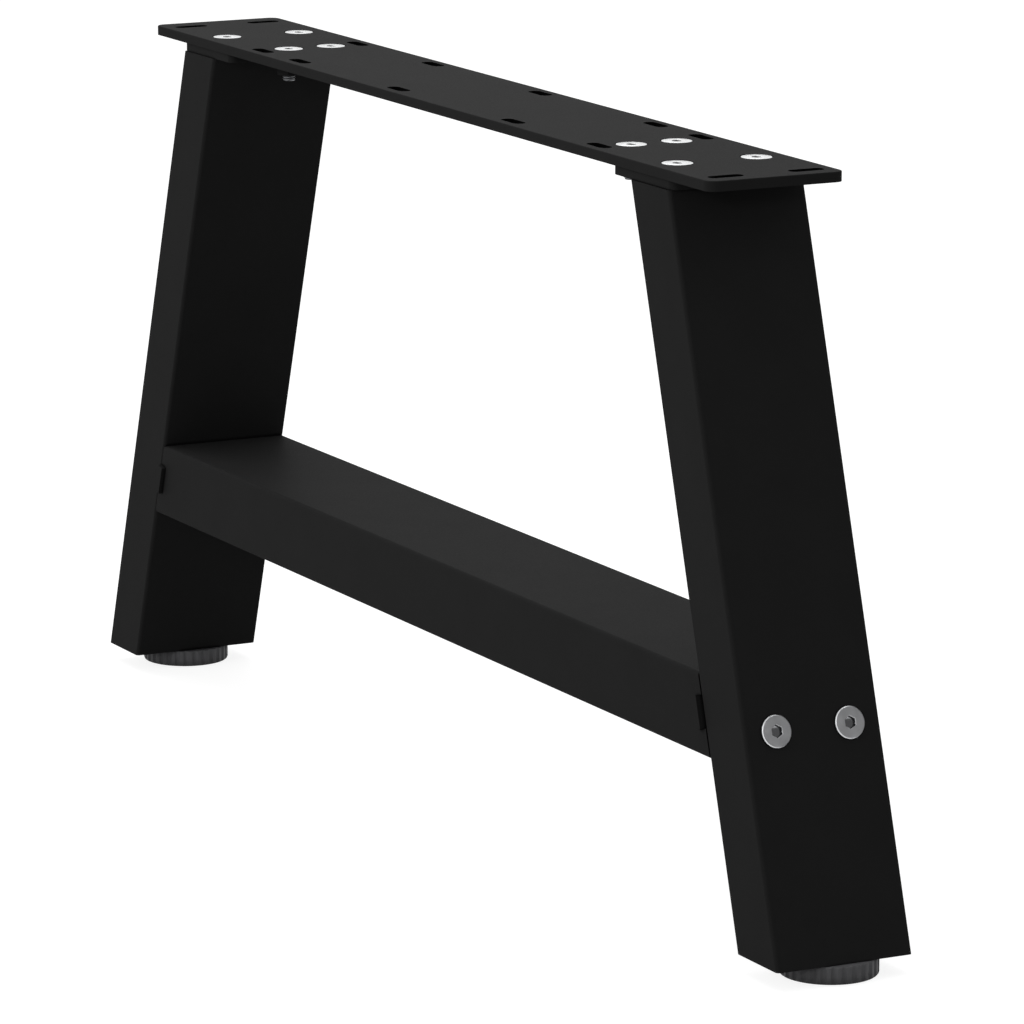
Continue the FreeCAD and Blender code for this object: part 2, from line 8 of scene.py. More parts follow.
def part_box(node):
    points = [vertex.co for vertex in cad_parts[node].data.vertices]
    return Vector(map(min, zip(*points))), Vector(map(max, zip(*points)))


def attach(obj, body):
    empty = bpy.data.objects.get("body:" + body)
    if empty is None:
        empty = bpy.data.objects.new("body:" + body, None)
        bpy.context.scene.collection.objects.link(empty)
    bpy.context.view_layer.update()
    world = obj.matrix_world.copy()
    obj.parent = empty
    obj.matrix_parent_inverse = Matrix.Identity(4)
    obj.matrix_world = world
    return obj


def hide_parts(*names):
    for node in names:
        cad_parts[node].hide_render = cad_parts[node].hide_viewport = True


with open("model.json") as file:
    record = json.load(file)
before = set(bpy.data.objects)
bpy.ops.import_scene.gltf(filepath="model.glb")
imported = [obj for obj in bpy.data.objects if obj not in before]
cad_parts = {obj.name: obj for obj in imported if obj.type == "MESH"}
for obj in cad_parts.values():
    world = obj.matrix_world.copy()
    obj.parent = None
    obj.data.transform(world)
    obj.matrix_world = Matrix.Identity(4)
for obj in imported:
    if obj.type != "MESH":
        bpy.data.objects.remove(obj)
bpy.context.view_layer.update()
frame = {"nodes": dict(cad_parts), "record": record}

# Trestle table leg: the tubes and foot plates keep their own meshes and get a powder coat here.
# Screws, bolts, studs and foot pads are modelled in full in place of the plain ones. Cap plates,
# end plates and nuts are the plain ones with eased edges, and the walls of the top plate's slots are
# painted near black as shade.
# Metres, in the part's own frame: X along the top plate, Y to the back, Z up from the floor.

MM = 0.001
SAME_POINT = 0.0005 * MM
SAME_HEIGHT = 0.01 * MM
SAME_RADIUS = 0.02 * MM

# Camera of the photograph: a long lens, from the right and slightly above

CAMERA_PLACE = (3.1023, -1.5832, 0.8977)
CAMERA_HEADING = math.radians(62.6)
CAMERA_DROP = math.radians(11.848)
CAMERA_ROLL = math.radians(0.1166)
PICTURE_WIDTH = 1024
FOCAL_PIXELS = 6327.7
SENSOR_WIDTH = 36
FARTHEST_SEEN = 100

# Studio: a white ground, a white backdrop behind on the left and a dim room on the right

FLOOR_WIDTH = 30
FLOOR_HEIGHT = -0.1 * MM
FLOOR_PAINT = "#9A9A9A"
FLOOR_GLOW = 0.86
BACKDROP_SIDE = (-0.86, 0.46, 0.22)
BACKDROP_LEVEL = 0.95
BACKDROP_FULL = 0.9
DIM_LEVEL = 0.22
DIM_FULL = -0.6
PURE_WHITE = "#FFFFFF"

# A dark card on the right, which only mirrored rays meet: it keeps the bolt heads grey

CARD_PLACE = (2.3, 1.05, 0.85)
CARD_AIM = (0.38, 0, 0.1)
CARD_SIZE = 3.8

# Sizes of the hardware, as on the real fasteners

LEAN = math.radians(17.3)
ROUND_STEPS = 48
TIP_CHAMFER = 0.8 * MM
THREAD_DEPTH = 0.613
THREAD_FLANK = math.radians(30)
SCREW_HEAD_RADIUS = 8.25 * MM
SCREW_HEAD_LAND = 0.6 * MM
SCREW_LENGTH = 18.6 * MM
SCREW_PLAIN_SHANK = 1.5 * MM
SCREW_RIM = 0.25 * MM
SCREW_LAND_EDGE = 0.1 * MM
SCREW_SOCKET_WIDTH = 5 * MM
BOLT_HEAD_RADIUS = 8.55 * MM
BOLT_HEAD_HEIGHT = 1.6 * MM
BOLT_REACH = 45 * MM
BOLT_THREAD_LENGTH = 26 * MM
BOLT_RIM = 0.45 * MM
BOLT_UNDER_RIM = 0.4 * MM
BOLT_SOCKET_WIDTH = 6 * MM
SOCKET_DEPTH = 3 * MM
SOCKET_MOUTH = 0.12 * MM
DRILL_SHARE = 0.49
DRILL_POINT = math.radians(31)
SOCKET_REACH = 3.15 * MM
EIGHT_MM_RADIUS = 4 * MM
EIGHT_MM_PITCH = 1.25 * MM
TEN_MM_RADIUS = 5 * MM
TEN_MM_PITCH = 1.5 * MM
STUD_HEAD_WIDTH = 17 * MM
STUD_HEAD_HEIGHT = 5 * MM
STUD_PLAIN_SHANK = 4 * MM
PAD_RADIUS = 26 * MM
PAD_FLUTES = 30
FLUTE_RADIUS = 2.2 * MM
FLUTE_DEPTH = 0.9 * MM
FLUTE_STEPS = 20
PAD_TOP_EDGE = 0.6 * MM
PAD_SOLE_EDGE = 1.4 * MM
PAD_ROUNDING = 0.25 * MM
PAD_BORE_RADIUS = 5.05 * MM
PAD_RECESS_WIDTH = 17.2 * MM
PAD_RECESS_DEPTH = 6.5 * MM
EDGE_EASING = {"crossbar_end_plate": 0.4 * MM, "cap_plate": 0.4 * MM, "plate_nut": 0.2 * MM}


# Small tools for meshes

def let_go():
    """Leave edit mode and select nothing."""
    if bpy.context.mode != "OBJECT":
        bpy.ops.object.mode_set(mode="OBJECT")
    bpy.ops.object.select_all(action="DESELECT")


def hold(piece):
    """Select this piece alone and make it the active one."""
    let_go()
    piece.select_set(True)
    bpy.context.view_layer.objects.active = piece


def cylinder(name, radius, low, high, steps=ROUND_STEPS, turn=0.0, across=(0, 0)):
    """A round or many-sided bar along Z between two heights."""
    let_go()
    middle = (across[0], across[1], (low + high) / 2)
    bpy.ops.mesh.primitive_cylinder_add(
        vertices=steps, radius=radius, depth=high - low, location=middle, rotation=(0, 0, turn)
    )
    piece = bpy.context.object
    piece.name = piece.data.name = name
    bpy.ops.object.transform_apply(location=True, rotation=True, scale=True)
    return piece


def choose(piece, kind, test):
    """In edit mode, select the vertices, edges or faces whose middle point passes a test."""
    hold(piece)
    bpy.ops.object.mode_set(mode="EDIT")
    bpy.ops.mesh.select_mode(type=kind)
    bpy.ops.mesh.select_all(action="DESELECT")
    mesh = bmesh.from_edit_mesh(piece.data)
    items = {"VERT": mesh.verts, "EDGE": mesh.edges, "FACE": mesh.faces}[kind]
    for item in items:
        points = [item.co] if kind == "VERT" else [corner.co for corner in item.verts]
        if test(sum(points, Vector()) / len(points), points):
            item.select_set(True)
    mesh.select_flush_mode()
    bmesh.update_edit_mesh(piece.data)


def finish_modifier(piece, kind, **settings):
    """Add a modifier with its settings and apply it."""
    hold(piece)
    bpy.ops.object.modifier_add(type=kind)
    modifier = piece.modifiers[-1]
    for name, value in settings.items():
        setattr(modifier, name, value)
    bpy.ops.object.modifier_apply(modifier=modifier.name)


def combine(piece, other, operation):
    """Cut another closed piece from this one, or join it on, and drop the other."""
    finish_modifier(piece, "BOOLEAN", operation=operation, object=other, solver="EXACT")
    bpy.data.objects.remove(other)


def drop_slivers(piece):
    """Merge the points that coincide after a cut, and with them the faces of no area."""
    hold(piece)
    bpy.ops.object.mode_set(mode="EDIT")
    bpy.ops.mesh.select_mode(type="VERT")
    bpy.ops.mesh.select_all(action="SELECT")
    bpy.ops.mesh.dissolve_degenerate(threshold=SAME_POINT)
    let_go()


def smooth(piece, angle=35):
    """Shade smoothly across edges that turn less than an angle in degrees."""
    hold(piece)
    bpy.ops.object.shade_smooth_by_angle(angle=math.radians(angle))


def extrude_to(piece, height, grow, test):
    """Extrude the chosen faces to a height and scale them about the Z axis."""
    choose(piece, "FACE", test)
    mesh = bmesh.from_edit_mesh(piece.data)
    start = next(face for face in mesh.faces if face.select).calc_center_median().z
    bpy.ops.mesh.extrude_region_move(TRANSFORM_OT_translate={"value": (0, 0, height - start)})
    bpy.ops.transform.resize(value=(grow, grow, 1), center_override=(0, 0, height))
    let_go()


def at_height(height):
    """A test for faces and edges that lie level at a height."""
    return lambda middle, points: all(abs(point.z - height) < SAME_HEIGHT for point in points)


def at_height_within(height, radius):
    """A test for faces and edges that lie level at a height and nearer the axis than a radius."""
    return lambda middle, points: all(
        abs(point.z - height) < SAME_HEIGHT and point.xy.length < radius for point in points)


def at_rim(height, radius):
    """A test for the edges of the circle that lies at a height and a radius."""
    return lambda middle, points: all(
        abs(point.z - height) < SAME_HEIGHT and abs(point.xy.length - radius) < SAME_RADIUS
        for point in points)


def thread_cutter(radius, pitch, low, high):
    """The helical groove that a threading die leaves, as a closed solid to be cut away. Its root is
    a quarter of the pitch wide, and it reaches a little past the rod."""
    root_radius = radius - THREAD_DEPTH * pitch
    outside = radius + 0.1 * MM
    half_root = pitch / 8
    half_mouth = half_root + (outside - root_radius) * math.tan(THREAD_FLANK)
    let_go()
    bpy.ops.mesh.primitive_plane_add(size=pitch, location=(0, 0, 0))
    cutter = bpy.context.object
    corners = [(outside, -half_mouth), (root_radius, -half_root),
               (root_radius, half_root), (outside, half_mouth)]
    bpy.ops.object.mode_set(mode="EDIT")
    mesh = bmesh.from_edit_mesh(cutter.data)
    loop = mesh.faces[:][0].verts[:]
    for corner, (across, up) in zip(loop, corners):
        corner.co = (across, 0, low + up)
    bmesh.update_edit_mesh(cutter.data)
    bpy.ops.mesh.select_mode(type="FACE")
    bpy.ops.mesh.select_all(action="SELECT")
    bpy.ops.mesh.delete(type="ONLY_FACE")
    finish_modifier(
        cutter, "SCREW", axis="Z", angle=math.tau, screw_offset=pitch,
        iterations=math.ceil((high - low) / pitch), steps=ROUND_STEPS,
        render_steps=ROUND_STEPS, use_merge_vertices=True, use_smooth_shade=False,
    )
    hold(cutter)
    bpy.ops.object.mode_set(mode="EDIT")
    bpy.ops.mesh.select_mode(type="VERT")
    bpy.ops.mesh.select_all(action="SELECT")
    bpy.ops.mesh.fill_holes(sides=4)
    bpy.ops.mesh.select_all(action="SELECT")
    bpy.ops.mesh.normals_make_consistent(inside=False)
    let_go()
    return cutter


def hexagon_radius(width):
    """The distance from the middle to a corner of a hexagon that is so wide across its flats."""
    return width / math.sqrt(3)


def dress(piece, finish, wall_shade_finish, cone_shade_finish, thread_finish):
    """Finishes for the head, the walls of its socket, the drilled cone below and the thread; the
    socket walls and the cone are darkened as painted shade. The faces below the socket's mouth and
    not past the shank are sorted by their depth and reach."""
    for material in (finish, wall_shade_finish, cone_shade_finish, thread_finish):
        piece.data.materials.append(material)
    head, wall, cone, thread = range(4)
    for face in piece.data.polygons:
        depth = -face.center.z
        across = face.center.xy.length
        below_mouth = depth > 0.2 * MM and across < 1.02 * EIGHT_MM_RADIUS
        in_socket = across < SOCKET_REACH and depth < 2 * SOCKET_DEPTH
        faces_out_of_cone = depth > 0.99 * SOCKET_DEPTH and face.normal.z > 0.7
        if not below_mouth:
            face.material_index = head
        elif not in_socket:
            face.material_index = thread
        elif faces_out_of_cone:
            face.material_index = cone
        else:
            face.material_index = wall
    return piece


def cut_socket(piece, width):
    """A hexagon socket in the face at height zero, with a drill's cone below and a bevelled mouth."""
    tool = cylinder("socket_tool", hexagon_radius(width), -SOCKET_DEPTH, MM, steps=6)
    combine(piece, tool, "DIFFERENCE")
    drill = DRILL_SHARE * width
    tool = cylinder("drill_tool", drill, -SOCKET_DEPTH, -SOCKET_DEPTH / 2)
    choose(tool, "FACE", at_height(-SOCKET_DEPTH))
    bpy.ops.mesh.poke(offset=drill * math.tan(DRILL_POINT))
    let_go()
    combine(piece, tool, "DIFFERENCE")
    choose(piece, "EDGE", at_height_within(0, 1.02 * hexagon_radius(width)))
    bpy.ops.mesh.bevel(offset=SOCKET_MOUTH, segments=1, affect="EDGES")
    let_go()


def bevel_rim(piece, height, radius, width, segments=2):
    """Soften the round edge that lies at a height and a radius."""
    choose(piece, "EDGE", at_rim(height, radius))
    bpy.ops.mesh.bevel(offset=width, segments=segments, affect="EDGES")
    let_go()


# Pieces, each modelled once about the Z axis with its outer face at height zero

def countersunk_screw():
    """Flat countersunk screw: land, 90 degree cone, threaded shank with a chamfered tip."""
    screw = cylinder("countersunk_screw", SCREW_HEAD_RADIUS, -SCREW_HEAD_LAND, 0)
    cone_end = -SCREW_HEAD_LAND - (SCREW_HEAD_RADIUS - EIGHT_MM_RADIUS)
    end = -SCREW_LENGTH
    extrude_to(screw, cone_end, EIGHT_MM_RADIUS / SCREW_HEAD_RADIUS, at_height(-SCREW_HEAD_LAND))
    extrude_to(screw, end + TIP_CHAMFER, 1, at_height(cone_end))
    extrude_to(screw, end, 1 - TIP_CHAMFER / EIGHT_MM_RADIUS, at_height(end + TIP_CHAMFER))
    bevel_rim(screw, 0, SCREW_HEAD_RADIUS, SCREW_RIM)
    bevel_rim(screw, -SCREW_HEAD_LAND, SCREW_HEAD_RADIUS, SCREW_LAND_EDGE, segments=1)
    thread_top = cone_end - SCREW_PLAIN_SHANK
    cutter = thread_cutter(EIGHT_MM_RADIUS, EIGHT_MM_PITCH, end - MM, thread_top)
    combine(screw, cutter, "DIFFERENCE")
    cut_socket(screw, SCREW_SOCKET_WIDTH)
    drop_slivers(screw)
    smooth(screw)
    return screw


def flat_bolt():
    """Connector bolt: wide thin head, plain shank and a threaded end."""
    bolt = cylinder("flat_bolt", BOLT_HEAD_RADIUS, -BOLT_HEAD_HEIGHT, 0)
    under_head = -BOLT_HEAD_HEIGHT
    end = under_head - BOLT_REACH
    choose(bolt, "FACE", at_height(under_head))
    bpy.ops.mesh.inset(thickness=BOLT_HEAD_RADIUS - EIGHT_MM_RADIUS)
    let_go()
    extrude_to(bolt, end + TIP_CHAMFER, 1, at_height_within(under_head, 1.04 * EIGHT_MM_RADIUS))
    extrude_to(bolt, end, 1 - TIP_CHAMFER / EIGHT_MM_RADIUS, at_height(end + TIP_CHAMFER))
    bevel_rim(bolt, 0, BOLT_HEAD_RADIUS, BOLT_RIM, segments=1)
    bevel_rim(bolt, under_head, BOLT_HEAD_RADIUS, BOLT_UNDER_RIM, segments=1)
    cutter = thread_cutter(EIGHT_MM_RADIUS, EIGHT_MM_PITCH, end - MM, end + BOLT_THREAD_LENGTH)
    combine(bolt, cutter, "DIFFERENCE")
    cut_socket(bolt, BOLT_SOCKET_WIDTH)
    drop_slivers(bolt)
    smooth(bolt)
    return bolt


def foot_stud(length):
    """Levelling stud: hexagonal head at height zero, thread above it, to a length overall."""
    stud = cylinder("foot_stud", hexagon_radius(STUD_HEAD_WIDTH), -STUD_HEAD_HEIGHT, 0,
                    steps=6, turn=math.radians(30))
    rod = cylinder("stud_rod", TEN_MM_RADIUS, -length, -STUD_HEAD_HEIGHT / 2)
    bevel_rim(rod, -length, TEN_MM_RADIUS, TIP_CHAMFER, segments=1)
    thread_top = -STUD_HEAD_HEIGHT - STUD_PLAIN_SHANK
    cutter = thread_cutter(TEN_MM_RADIUS, TEN_MM_PITCH, -length - MM, thread_top)
    combine(rod, cutter, "DIFFERENCE")
    combine(stud, rod, "UNION")
    drop_slivers(stud)
    smooth(stud)
    return stud


def foot_pad(height):
    """Moulded foot: a disc with rounded flutes in its rim, its sole at height zero."""
    pad = cylinder("foot_pad", PAD_RADIUS, -height, 0, steps=4 * PAD_FLUTES)
    bevel_rim(pad, -height, PAD_RADIUS, PAD_TOP_EDGE)
    bevel_rim(pad, 0, PAD_RADIUS, PAD_SOLE_EDGE, segments=3)
    tools = []
    reach = PAD_RADIUS + FLUTE_RADIUS - FLUTE_DEPTH
    for index in range(PAD_FLUTES):
        angle = math.tau * index / PAD_FLUTES
        place = (reach * math.cos(angle), reach * math.sin(angle))
        tools.append(cylinder(
            "flute_tool", FLUTE_RADIUS, -height - MM, MM, steps=FLUTE_STEPS, across=place))
    let_go()
    for tool in tools:
        tool.select_set(True)
    bpy.context.view_layer.objects.active = tools[0]
    bpy.ops.object.join()
    combine(pad, tools[0], "DIFFERENCE")
    recess = cylinder("recess_tool", hexagon_radius(PAD_RECESS_WIDTH), -PAD_RECESS_DEPTH, MM,
                      steps=6, turn=math.radians(30))
    combine(pad, recess, "DIFFERENCE")
    bore = cylinder("bore_tool", PAD_BORE_RADIUS, -height - MM, MM)
    combine(pad, bore, "DIFFERENCE")
    finish_modifier(pad, "BEVEL", width=PAD_ROUNDING, segments=2, limit_method="ANGLE",
                    angle_limit=math.radians(38), use_clamp_overlap=True)
    drop_slivers(pad)
    smooth(pad)
    return pad


# Setting the pieces in their places

def seat(node, outward):
    """The place of a turned node: the middle of its outermost face, with Z pointing outwards."""
    outward = Vector(outward).normalized()
    turn = outward.to_track_quat("Z", "Y").to_matrix()
    points = [turn.transposed() @ vertex.co for vertex in frame["nodes"][node].data.vertices]
    lows = [min(point[axis] for point in points) for axis in range(3)]
    highs = [max(point[axis] for point in points) for axis in range(3)]
    middle = Vector(((lows[0] + highs[0]) / 2, (lows[1] + highs[1]) / 2, highs[2]))
    return Matrix.Translation(turn @ middle) @ turn.to_4x4()


def copy_of(model, name):
    """A copy with its own mesh."""
    piece = model.copy()
    piece.data = model.data.copy()
    piece.name = piece.data.name = name
    bpy.context.scene.collection.objects.link(piece)
    return piece


def put_for(piece, node):
    """Let a piece stand for a plain node: same body, and the plain node hidden."""
    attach(piece, body_of[node])
    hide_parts(node)


def set_in_place(master, node, outward):
    """A copy of the master piece in place of the plain node."""
    piece = copy_of(master, node + "_detailed")
    piece.data.transform(seat(node, outward))
    put_for(piece, node)


def ease_edges(node, width):
    """The plain node again, with its sharp edges rounded as a cutter and a thick coat leave them."""
    piece = copy_of(frame["nodes"][node], node + "_eased")
    hold(piece)
    bpy.ops.object.mode_set(mode="EDIT")
    bpy.ops.mesh.select_mode(type="VERT")
    bpy.ops.mesh.select_all(action="SELECT")
    bpy.ops.mesh.remove_doubles(threshold=0.005 * MM)
    bpy.ops.mesh.dissolve_limited(angle_limit=math.radians(0.5))
    let_go()
    finish_modifier(piece, "BEVEL", width=width, segments=2, limit_method="ANGLE",
                    angle_limit=math.radians(25), use_clamp_overlap=True)
    smooth(piece)
    finish_modifier(piece, "WEIGHTED_NORMAL", keep_sharp=True)
    put_for(piece, node)


def darken_slots(node, slot_wall_shade):
    """The plain plate again, with the walls of its slots painted near black as shade. They are the
    upright faces that lie well inside the plate's outline."""
    low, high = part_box(node)
    inset = 2 * MM
    piece = copy_of(frame["nodes"][node], node + "_slots_dark")
    piece.data.materials.append(slot_wall_shade)
    for face in piece.data.polygons:
        middle = face.center
        inside = all(low[axis] + inset < middle[axis] < high[axis] - inset for axis in (0, 1))
        upright = abs(face.normal.z) < 0.3
        face.material_index = int(inside and upright)
    put_for(piece, node)


# Materials

def linear(hex_colour):
    """An sRGB hex colour as linear red, green, blue and alpha."""
    parts = [int(hex_colour[index:index + 2], 16) / 255 for index in (1, 3, 5)]
    return [p / 12.92 if p <= 0.04045 else ((p + 0.055) / 1.055) ** 2.4 for p in parts] + [1]


def add_node(tree, kind, settings=None, values=None, links=None):
    """Add a node with its settings, its plain input values and the links into it."""
    item = tree.nodes.new(kind)
    for name, value in (settings or {}).items():
        setattr(item, name, value)
    for name, value in (values or {}).items():
        item.inputs[name].default_value = value
    for name, source in (links or {}).items():
        tree.links.new(source, item.inputs[name])
    return item


def new_material(name):
    """A material with an empty node tree."""
    material = bpy.data.materials.new(name)
    material.use_nodes = True
    material.node_tree.nodes.clear()
    return material, material.node_tree


def per_metre(size_mm):
    """The texture scale at which a pattern's features are about a size in millimetres."""
    return 1 / (size_mm * MM)


def powder_coat(name, low_hex, high_hex):
    """Fine-texture black powder coat on steel, sprayed and baked: a dull, even black whose tiny
    bumps break up every reflection, with slightly lighter and darker clouds in it. In corners and
    recesses its colour is darkened towards nearly black by ambient occlusion: painted shade."""
    material, tree = new_material(name)
    place = add_node(tree, "ShaderNodeTexCoord").outputs["Object"]
    clouds = add_node(tree, "ShaderNodeTexNoise", values={
        "Scale": per_metre(28), "Detail": 3.0, "Roughness": 0.55}, links={"Vector": place})
    # The real grit is about 0.15 mm. It is drawn at 0.8 mm so that it shows at all.
    grit = add_node(tree, "ShaderNodeTexNoise", values={
        "Scale": per_metre(0.8), "Detail": 2.0, "Roughness": 0.6}, links={"Vector": place})
    peel = add_node(tree, "ShaderNodeTexNoise", values={
        "Scale": per_metre(6), "Detail": 1.0, "Roughness": 0.5}, links={"Vector": place})
    cloudy = add_node(tree, "ShaderNodeMix", {"data_type": "RGBA"}, {
        6: linear(low_hex), 7: linear(high_hex)}, {0: clouds.outputs["Fac"]})
    # Painted shade: ambient occlusion within 2.5 mm darkens the colour towards #080808 in corners and
    # recesses.
    ao_for_painted_shade = add_node(tree, "ShaderNodeAmbientOcclusion", {"samples": 8}, {"Distance": 2.5 * MM})
    coat_painted_shade = add_node(tree, "ShaderNodeMapRange", values={
        "From Min": 0.4, "From Max": 0.9, "To Min": 0.25, "To Max": 1.0},
        links={"Value": ao_for_painted_shade.outputs["AO"]})
    colour = add_node(tree, "ShaderNodeMix", {"data_type": "RGBA"}, {
        6: linear("#080808")}, {0: coat_painted_shade.outputs["Result"], 7: cloudy.outputs[2]})
    roughness = add_node(tree, "ShaderNodeMapRange", values={
        "From Min": 0.3, "From Max": 0.7, "To Min": 0.5, "To Max": 0.6},
        links={"Value": grit.outputs["Fac"]})
    wavy = add_node(tree, "ShaderNodeBump", values={
        "Strength": 0.25, "Distance": 0.05 * MM}, links={"Height": peel.outputs["Fac"]})
    rough = add_node(tree, "ShaderNodeBump", values={
        "Strength": 0.5, "Distance": 0.04 * MM},
        links={"Height": grit.outputs["Fac"], "Normal": wavy.outputs["Normal"]})
    shader = add_node(tree, "ShaderNodeBsdfPrincipled", values={
        "Metallic": 0.0, "IOR": 1.5, "Specular IOR Level": 0.006}, links={
        "Base Color": colour.outputs[2], "Roughness": roughness.outputs["Result"],
        "Normal": rough.outputs["Normal"]})
    add_node(tree, "ShaderNodeOutputMaterial", links={"Surface": shader.outputs["BSDF"]})
    return material


def zinc_plate(name, colour_hex, roughness_low, roughness_high):
    """Zinc-plated steel, tumbled in a barrel: a grey metal with softly blurred reflections and
    faint clouds where the plating is duller."""
    material, tree = new_material(name)
    place = add_node(tree, "ShaderNodeTexCoord").outputs["Object"]
    clouds = add_node(tree, "ShaderNodeTexNoise", values={
        "Scale": per_metre(5), "Detail": 4.0, "Roughness": 0.6}, links={"Vector": place})
    scuffs = add_node(tree, "ShaderNodeTexNoise", values={
        "Scale": per_metre(0.6), "Detail": 2.0, "Roughness": 0.5}, links={"Vector": place})
    dull = linear(colour_hex)
    bright = [min(1, part * 1.15) for part in dull[:3]] + [1]
    colour = add_node(tree, "ShaderNodeMix", {"data_type": "RGBA"}, {6: dull, 7: bright},
                      {0: clouds.outputs["Fac"]})
    roughness = add_node(tree, "ShaderNodeMapRange", values={
        "From Min": 0.3, "From Max": 0.7, "To Min": roughness_low, "To Max": roughness_high},
        links={"Value": clouds.outputs["Fac"]})
    bump = add_node(tree, "ShaderNodeBump", values={
        "Strength": 0.15, "Distance": 0.01 * MM}, links={"Height": scuffs.outputs["Fac"]})
    shader = add_node(tree, "ShaderNodeBsdfPrincipled", values={"Metallic": 1.0}, links={
        "Base Color": colour.outputs[2], "Roughness": roughness.outputs["Result"],
        "Normal": bump.outputs["Normal"]})
    add_node(tree, "ShaderNodeOutputMaterial", links={"Surface": shader.outputs["BSDF"]})
    return material


def moulded_polyamide():
    """Injection-moulded polyamide: a dark grey plastic with a fine eroded grain from its mould and
    a weak, broad sheen. Between its flutes and under the leg its colour is darkened by ambient
    occlusion: painted shade."""
    material, tree = new_material("moulded polyamide")
    place = add_node(tree, "ShaderNodeTexCoord").outputs["Object"]
    grain = add_node(tree, "ShaderNodeTexNoise", values={
        "Scale": per_metre(0.7), "Detail": 3.0, "Roughness": 0.6}, links={"Vector": place})
    flow = add_node(tree, "ShaderNodeTexNoise", values={
        "Scale": per_metre(9), "Detail": 2.0, "Roughness": 0.5}, links={"Vector": place})
    streaks = add_node(tree, "ShaderNodeMix", {"data_type": "RGBA"}, {
        6: linear("#5E5E60"), 7: linear("#676769")}, {0: flow.outputs["Fac"]})
    # Painted shade: ambient occlusion within 7 mm darkens the colour towards #1A1A1B between the
    # flutes and under the leg.
    ao_for_painted_shade = add_node(tree, "ShaderNodeAmbientOcclusion", {"samples": 8}, {"Distance": 7 * MM})
    pad_painted_shade = add_node(tree, "ShaderNodeMapRange", values={
        "From Min": 0.4, "From Max": 0.85, "To Min": 0.2, "To Max": 1.0},
        links={"Value": ao_for_painted_shade.outputs["AO"]})
    colour = add_node(tree, "ShaderNodeMix", {"data_type": "RGBA"}, {
        6: linear("#1A1A1B")}, {0: pad_painted_shade.outputs["Result"], 7: streaks.outputs[2]})
    roughness = add_node(tree, "ShaderNodeMapRange", values={
        "From Min": 0.3, "From Max": 0.7, "To Min": 0.45, "To Max": 0.6},
        links={"Value": grain.outputs["Fac"]})
    bump = add_node(tree, "ShaderNodeBump", values={
        "Strength": 0.3, "Distance": 0.03 * MM}, links={"Height": grain.outputs["Fac"]})
    shader = add_node(tree, "ShaderNodeBsdfPrincipled", values={
        "Metallic": 0.0, "IOR": 1.53, "Specular IOR Level": 0.2}, links={
        "Base Color": colour.outputs[2], "Roughness": roughness.outputs["Result"],
        "Normal": bump.outputs["Normal"]})
    add_node(tree, "ShaderNodeOutputMaterial", links={"Surface": shader.outputs["BSDF"]})
    return material


def background_rays(tree):
    """One for the rays that show the background: the camera's own, mirrored ones and those that
    pass through something clear. Zero for the rays that light the part."""
    path = add_node(tree, "ShaderNodeLightPath")
    mirrored = add_node(tree, "ShaderNodeMath", {"operation": "MAXIMUM"}, links={
        0: path.outputs["Is Camera Ray"], 1: path.outputs["Is Glossy Ray"]})
    seen = add_node(tree, "ShaderNodeMath", {"operation": "MAXIMUM"}, links={
        0: mirrored.outputs[0], 1: path.outputs["Is Transmission Ray"]})
    return seen.outputs[0]


def dark_card_paper():
    """Matt dark paper: one even dark grey, which metal facing the card mirrors."""
    material, tree = new_material("matt dark paper")
    tone = add_node(tree, "ShaderNodeEmission", values={
        "Color": linear(PURE_WHITE), "Strength": DIM_LEVEL})
    add_node(tree, "ShaderNodeOutputMaterial", links={"Surface": tone.outputs["Emission"]})
    return material


def white_ground():
    """White studio ground: seen directly or mirrored it is lit up to white, less where the part
    shades it, and to the light that reaches the part it is a plain mid-grey floor."""
    material, tree = new_material("white studio ground")
    seen = background_rays(tree)
    paint = add_node(tree, "ShaderNodeBsdfDiffuse", values={"Color": linear(FLOOR_PAINT)})
    glow = add_node(tree, "ShaderNodeEmission", values={
        "Color": linear(PURE_WHITE), "Strength": FLOOR_GLOW})
    both = add_node(tree, "ShaderNodeAddShader", links={
        0: paint.outputs["BSDF"], 1: glow.outputs["Emission"]})
    mixed = add_node(tree, "ShaderNodeMixShader", links={
        0: seen, 1: paint.outputs["BSDF"], 2: both.outputs["Shader"]})
    add_node(tree, "ShaderNodeOutputMaterial", links={"Surface": mixed.outputs["Shader"]})
    return material


# Dress the frame

coat = powder_coat("fine-texture powder-coated steel", "#282828", "#2C2C2C")
# Painted shade: the walls of the top plate's slots get a near-black copy of the coat.
slot_wall_shade_coat = powder_coat("near-black painted shade on slot walls", "#050505", "#070707")
bright_zinc = zinc_plate("bright zinc-plated steel", "#DADBDC", 0.22, 0.32)
satin_zinc = zinc_plate("satin zinc-plated steel", "#CCCDCF", 0.3, 0.4)
dull_zinc = zinc_plate("dull zinc on threads", "#6A6B6D", 0.35, 0.45)
# Painted shade: socket walls and drilled cones are darker zinc than the heads; the cones are also
# smoother, so that a lamp glints in them.
socket_wall_shade_zinc = zinc_plate("zinc darkened as painted shade on socket walls", "#343536", 0.4, 0.5)
cone_shade_zinc = zinc_plate("shiny zinc darkened as painted shade in drilled cones", "#8C8D8F", 0.12, 0.18)
plastic = moulded_polyamide()

finish_of = {
    "powder_coat": coat,
    "zinc_screw": bright_zinc,
    "zinc_bolt": satin_zinc,
    "foot_plastic": plastic,
}
bodies = frame["record"]["behaviour"]["bodies"]
slot_of = {item["node"]: item["material_slot"] for item in frame["record"]["subparts"]}
body_of = {node: body for body, nodes in bodies.items() for node in nodes}
for name, node in frame["nodes"].items():
    for material_slot in node.material_slots:
        material_slot.material = finish_of[slot_of[name]]

